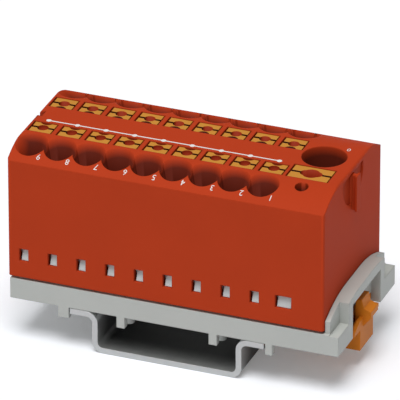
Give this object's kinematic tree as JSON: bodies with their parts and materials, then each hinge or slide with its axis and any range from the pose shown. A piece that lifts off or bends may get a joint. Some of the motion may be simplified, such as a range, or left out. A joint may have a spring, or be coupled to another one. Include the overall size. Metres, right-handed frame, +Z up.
{
  "type": "power distribution block",
  "caption": "Push-in power distribution block with two rows of small spring clamps, a wide feed-in clamp and press buttons, clipped by a grey adapter to a short top-hat rail.",
  "frame": {"origin": "centre of the rail's underside", "axes": "+X along the rows of positions towards the feed-in end, +Y from the front row to the back row and along the rail, +Z up, away from the rail"},
  "size_m": [0.0609, 0.028, 0.036],
  "materials": {
    "housing_red": "moulded, fine grain, satin",
    "button_amber": "moulded, slightly glossy",
    "latch_orange": "moulded, satin",
    "adapter_grey": "moulded, fine grain, satin",
    "tinned_copper": "bright tin plating over copper",
    "spring_steel": "bare spring steel strip",
    "zinc_steel": "galvanised sheet, dull"
  },
  "bodies": {
    "rail": {"din_rail": "zinc_steel"},
    "block": {"housing": "housing_red", "base_cover": "housing_red", "current_bar": "tinned_copper", "rail_adapter": "adapter_grey", "front_clamp_spring_1": "spring_steel", "front_clamp_spring_2": "spring_steel", "front_clamp_spring_3": "spring_steel", "front_clamp_spring_4": "spring_steel", "front_clamp_spring_5": "spring_steel", "front_clamp_spring_6": "spring_steel", "front_clamp_spring_7": "spring_steel", "front_clamp_spring_8": "spring_steel", "front_clamp_spring_9": "spring_steel", "back_clamp_spring_1": "spring_steel", "back_clamp_spring_2": "spring_steel", "back_clamp_spring_3": "spring_steel", "back_clamp_spring_4": "spring_steel", "back_clamp_spring_5": "spring_steel", "back_clamp_spring_6": "spring_steel", "back_clamp_spring_7": "spring_steel", "back_clamp_spring_8": "spring_steel", "back_clamp_spring_9": "spring_steel", "feed_clamp_spring": "spring_steel"},
    "foot_latch": {"foot_latch": "latch_orange"},
    "front_button_1": {"front_button_1": "button_amber"},
    "front_button_2": {"front_button_2": "button_amber"},
    "front_button_3": {"front_button_3": "button_amber"},
    "front_button_4": {"front_button_4": "button_amber"},
    "front_button_5": {"front_button_5": "button_amber"},
    "front_button_6": {"front_button_6": "button_amber"},
    "front_button_7": {"front_button_7": "button_amber"},
    "front_button_8": {"front_button_8": "button_amber"},
    "front_button_9": {"front_button_9": "button_amber"},
    "back_button_1": {"back_button_1": "button_amber"},
    "back_button_2": {"back_button_2": "button_amber"},
    "back_button_3": {"back_button_3": "button_amber"},
    "back_button_4": {"back_button_4": "button_amber"},
    "back_button_5": {"back_button_5": "button_amber"},
    "back_button_6": {"back_button_6": "button_amber"},
    "back_button_7": {"back_button_7": "button_amber"},
    "back_button_8": {"back_button_8": "button_amber"},
    "back_button_9": {"back_button_9": "button_amber"},
    "feed_button": {"feed_button": "button_amber"}
  },
  "joints": [
    {"name": "rail_slide", "type": "slide", "parent": "rail", "child": "block", "axis": [0, 1, 0], "range_m": [-0.005, 0.005]},
    {"name": "foot_latch_slide", "type": "slide", "parent": "block", "child": "foot_latch", "axis": [1, 0, 0], "range_m": [0, 0.0016], "stiffness_N_per_m": 800, "springref_m": -0.002},
    {"name": "front_button_1_press", "type": "slide", "parent": "block", "child": "front_button_1", "axis": [0, 0, -1], "range_m": [0, 0.0012], "stiffness_N_per_m": 500, "springref_m": -0.002},
    {"name": "front_button_2_press", "type": "slide", "parent": "block", "child": "front_button_2", "axis": [0, 0, -1], "range_m": [0, 0.0012], "stiffness_N_per_m": 500, "springref_m": -0.002},
    {"name": "front_button_3_press", "type": "slide", "parent": "block", "child": "front_button_3", "axis": [0, 0, -1], "range_m": [0, 0.0012], "stiffness_N_per_m": 500, "springref_m": -0.002},
    {"name": "front_button_4_press", "type": "slide", "parent": "block", "child": "front_button_4", "axis": [0, 0, -1], "range_m": [0, 0.0012], "stiffness_N_per_m": 500, "springref_m": -0.002},
    {"name": "front_button_5_press", "type": "slide", "parent": "block", "child": "front_button_5", "axis": [0, 0, -1], "range_m": [0, 0.0012], "stiffness_N_per_m": 500, "springref_m": -0.002},
    {"name": "front_button_6_press", "type": "slide", "parent": "block", "child": "front_button_6", "axis": [0, 0, -1], "range_m": [0, 0.0012], "stiffness_N_per_m": 500, "springref_m": -0.002},
    {"name": "front_button_7_press", "type": "slide", "parent": "block", "child": "front_button_7", "axis": [0, 0, -1], "range_m": [0, 0.0012], "stiffness_N_per_m": 500, "springref_m": -0.002},
    {"name": "front_button_8_press", "type": "slide", "parent": "block", "child": "front_button_8", "axis": [0, 0, -1], "range_m": [0, 0.0012], "stiffness_N_per_m": 500, "springref_m": -0.002},
    {"name": "front_button_9_press", "type": "slide", "parent": "block", "child": "front_button_9", "axis": [0, 0, -1], "range_m": [0, 0.0012], "stiffness_N_per_m": 500, "springref_m": -0.002},
    {"name": "back_button_1_press", "type": "slide", "parent": "block", "child": "back_button_1", "axis": [0, 0, -1], "range_m": [0, 0.0012], "stiffness_N_per_m": 500, "springref_m": -0.002},
    {"name": "back_button_2_press", "type": "slide", "parent": "block", "child": "back_button_2", "axis": [0, 0, -1], "range_m": [0, 0.0012], "stiffness_N_per_m": 500, "springref_m": -0.002},
    {"name": "back_button_3_press", "type": "slide", "parent": "block", "child": "back_button_3", "axis": [0, 0, -1], "range_m": [0, 0.0012], "stiffness_N_per_m": 500, "springref_m": -0.002},
    {"name": "back_button_4_press", "type": "slide", "parent": "block", "child": "back_button_4", "axis": [0, 0, -1], "range_m": [0, 0.0012], "stiffness_N_per_m": 500, "springref_m": -0.002},
    {"name": "back_button_5_press", "type": "slide", "parent": "block", "child": "back_button_5", "axis": [0, 0, -1], "range_m": [0, 0.0012], "stiffness_N_per_m": 500, "springref_m": -0.002},
    {"name": "back_button_6_press", "type": "slide", "parent": "block", "child": "back_button_6", "axis": [0, 0, -1], "range_m": [0, 0.0012], "stiffness_N_per_m": 500, "springref_m": -0.002},
    {"name": "back_button_7_press", "type": "slide", "parent": "block", "child": "back_button_7", "axis": [0, 0, -1], "range_m": [0, 0.0012], "stiffness_N_per_m": 500, "springref_m": -0.002},
    {"name": "back_button_8_press", "type": "slide", "parent": "block", "child": "back_button_8", "axis": [0, 0, -1], "range_m": [0, 0.0012], "stiffness_N_per_m": 500, "springref_m": -0.002},
    {"name": "back_button_9_press", "type": "slide", "parent": "block", "child": "back_button_9", "axis": [0, 0, -1], "range_m": [0, 0.0012], "stiffness_N_per_m": 500, "springref_m": -0.002},
    {"name": "feed_button_press", "type": "slide", "parent": "block", "child": "feed_button", "axis": [0, 0, -1], "range_m": [0, 0.0012], "stiffness_N_per_m": 800, "springref_m": -0.002}
  ]
}
